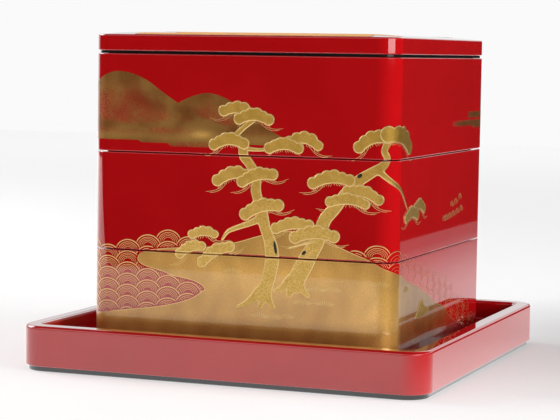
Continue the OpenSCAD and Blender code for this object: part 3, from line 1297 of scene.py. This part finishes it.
def sheet(name, low, high, material, mirrored):
    """A flat sheet on the ground between two corners, in metres. It is either seen or only mirrored."""
    mesh = bpy.data.meshes.new(name)
    corners = [(low[0], low[1]), (high[0], low[1]), (high[0], high[1]), (low[0], high[1])]
    mesh.from_pydata([(x, y, 0.0) for x, y in corners], [], [(0, 1, 2, 3)])
    mesh.materials.append(material)
    flat = bpy.data.objects.new(name, mesh)
    bpy.context.scene.collection.objects.link(flat)
    flat.visible_camera = flat.visible_diffuse = flat.visible_shadow = not mirrored
    flat.visible_glossy = mirrored


def softbox(name, place, aim, width, height, power, lights=True, shines=True):
    """A rectangular light at place, in metres, turned to aim. It lights surfaces, shines in them, or both."""
    light = bpy.data.lights.new(name, "AREA")
    light.shape = "RECTANGLE"
    light.size, light.size_y = width, height
    light.energy = power
    lamp = bpy.data.objects.new(name, light)
    turn = (Vector(aim) - Vector(place)).to_track_quat("-Z", "Y").to_matrix().to_4x4()
    lamp.matrix_world = Matrix.Translation(place) @ turn
    lamp.visible_camera = False
    lamp.visible_diffuse = lights
    lamp.visible_glossy = shines
    bpy.context.scene.collection.objects.link(lamp)


def surroundings(seen, lighting, mirrored, panel):
    """A pale world to look at and to light the floor. The lacquer mirrors a dim one, with a low bright panel
    behind on the left."""
    world = bpy.data.worlds.new("studio")
    world.cycles.sampling_method = "NONE"
    n = Nodes(world, "Generated")

    def background(level, strength=1.0):
        light = n.add("ShaderNodeBackground")
        n.fill(light.inputs["Color"], grey(level))
        n.fill(light.inputs["Strength"], strength)
        return light.outputs[0]

    def switch(ray, normally, then):
        mix = n.add("ShaderNodeMixShader")
        for socket, source in zip(mix.inputs, (ray, normally, then)):
            n.link(source, socket)
        return mix.outputs[0]

    left_of_back = n.math("LESS_THAN", n.math("ADD", n.across, n.math("MULTIPLY", n.back, PANEL_BACK)), 0)
    behind_left = n.math("GREATER_THAN", n.math("ADD", n.back, n.math("MULTIPLY", n.across, PANEL_LEFT)), 0)
    on_side = n.math("MULTIPLY", left_of_back, behind_left)
    on_side = n.math("MAXIMUM", on_side, n.math("GREATER_THAN", n.level, PANEL_EAVES))
    on_panel = n.math("MULTIPLY", on_side, n.math("LESS_THAN", n.level, PANEL_TOP))
    sinking = n.math("SUBTRACT", 1, n.math("MULTIPLY", n.level, ZENITH_LOSS))
    path = n.add("ShaderNodeLightPath")
    glossy = switch(on_panel, background(mirrored), background(panel))
    unseen = switch(path.outputs["Is Diffuse Ray"], glossy, background(lighting, sinking))
    output = n.add("ShaderNodeOutputWorld")
    n.link(switch(path.outputs["Is Camera Ray"], unseen, background(seen)), output.inputs[0])
    bpy.context.scene.world = world


def camera():
    """The camera: its place in metres, and how it is turned, in radians."""
    place = (0.4452, -1.1860, 0.1955)
    yaw, pitch, roll = 0.3655, 0.0796, 0.0149
    data = bpy.data.cameras.new("camera")
    data.sensor_width = 36
    data.lens = 126.7
    eye = bpy.data.objects.new("camera", data)
    turn = Matrix.Rotation(yaw, 4, "Z") @ Matrix.Rotation(math.pi / 2 - pitch, 4, "X")
    eye.matrix_world = Matrix.Translation(place) @ turn @ Matrix.Rotation(roll, 4, "Z")
    bpy.context.scene.collection.objects.link(eye)
    bpy.context.scene.camera = eye


# The panel's ends: distance to the left for each unit straight back, and back for each unit to the left. Its
# top, and the level above which it goes all the way round, as sines of their heights. The last is how much
# dimmer the light from above is.
PANEL_BACK = 0.19
PANEL_LEFT = 0.31
PANEL_TOP = 0.5
PANEL_EAVES = 0.19
ZENITH_LOSS = 0.78


def studio():
    sheet("floor", (-3, -3), (3, 3), paper("floor_paper", False), mirrored=False)
    # Seen only in reflections; its darkening to the right is a painted falloff of light.
    sheet("mirrored_floor", (-2.5, -0.62), (0.37, 3), paper("mirrored_paper", True), mirrored=True)
    surroundings(seen=0.955, lighting=0.82, mirrored=0.01, panel=0.85)
    softbox("left_light", (-1.5, 0.1, 0.9), (0, 0, 0), 1.0, 0.8, 15)
    softbox("front_light", (-0.50, -1.6, 0.95), (0, 0, 0.1), 1.4, 0.9, 3.4)
    softbox("right_fill", (1.6, -0.10, 0.36), (0, 0, 0.1), 1.1, 0.4, 23, shines=False)
    softbox("strip", (1.32, -0.70, 0.35), (0, 0, 0.35), 1.0, 0.31, 3.6)
    softbox("rim_light", (-0.45, 1.25, 1.2), (0, 0, 0.2), 2.0, 0.8, 7, lights=False)
    bpy.context.scene.view_settings.view_transform = "Standard"


studio()
camera()
